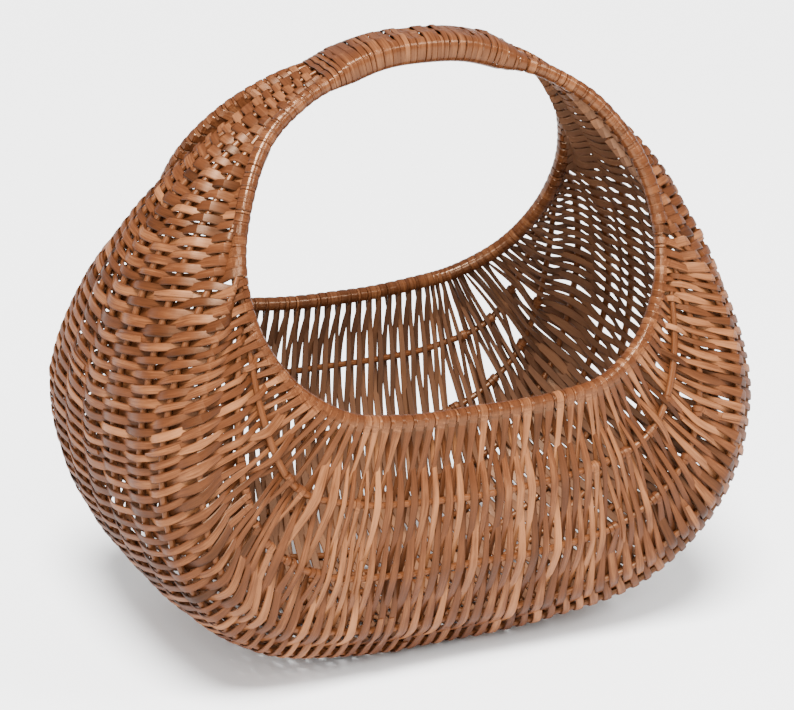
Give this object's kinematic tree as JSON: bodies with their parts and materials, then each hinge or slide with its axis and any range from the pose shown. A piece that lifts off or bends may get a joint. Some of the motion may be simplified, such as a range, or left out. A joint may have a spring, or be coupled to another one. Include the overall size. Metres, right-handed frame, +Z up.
{
  "type": "foraging basket",
  "caption": "Deep oval rib basket of split willow with an arched carrying handle, flared ends, open sides under the handle and a woven wall, for gathering mushrooms.",
  "frame": {"origin": "on the floor, under the middle of the base", "axes": "+X along the basket's length, front at -Y, +Z up"},
  "size_m": [0.4454, 0.2414, 0.4081],
  "materials": {
    "willow_rod": "peeled and stained willow rod, satin",
    "willow_strip": "split willow strip, satin",
    "willow_skein": "smooth willow skein, slight gloss"
  },
  "bodies": {
    "root": {"front_rim_hoop": "willow_rod", "front_rim_wrap": "willow_skein", "back_rim_hoop": "willow_rod", "back_rim_wrap": "willow_skein", "keel_rib": "willow_rod", "front_rib_1": "willow_rod", "front_rib_2": "willow_rod", "front_rib_3": "willow_rod", "front_rib_4": "willow_rod", "front_rib_5": "willow_rod", "front_rib_6": "willow_rod", "front_weave_1": "willow_strip", "front_weave_2": "willow_strip", "front_weave_3": "willow_strip", "front_weave_4": "willow_strip", "front_weave_5": "willow_strip", "front_weave_6": "willow_strip", "front_weave_7": "willow_strip", "back_rib_1": "willow_rod", "back_rib_2": "willow_rod", "back_rib_3": "willow_rod", "back_rib_4": "willow_rod", "back_rib_5": "willow_rod", "back_rib_6": "willow_rod", "back_weave_1": "willow_strip", "back_weave_2": "willow_strip", "back_weave_3": "willow_strip", "back_weave_4": "willow_strip", "back_weave_5": "willow_strip", "back_weave_6": "willow_strip", "back_weave_7": "willow_strip", "handle_binding": "willow_skein"}
  },
  "joints": []
}
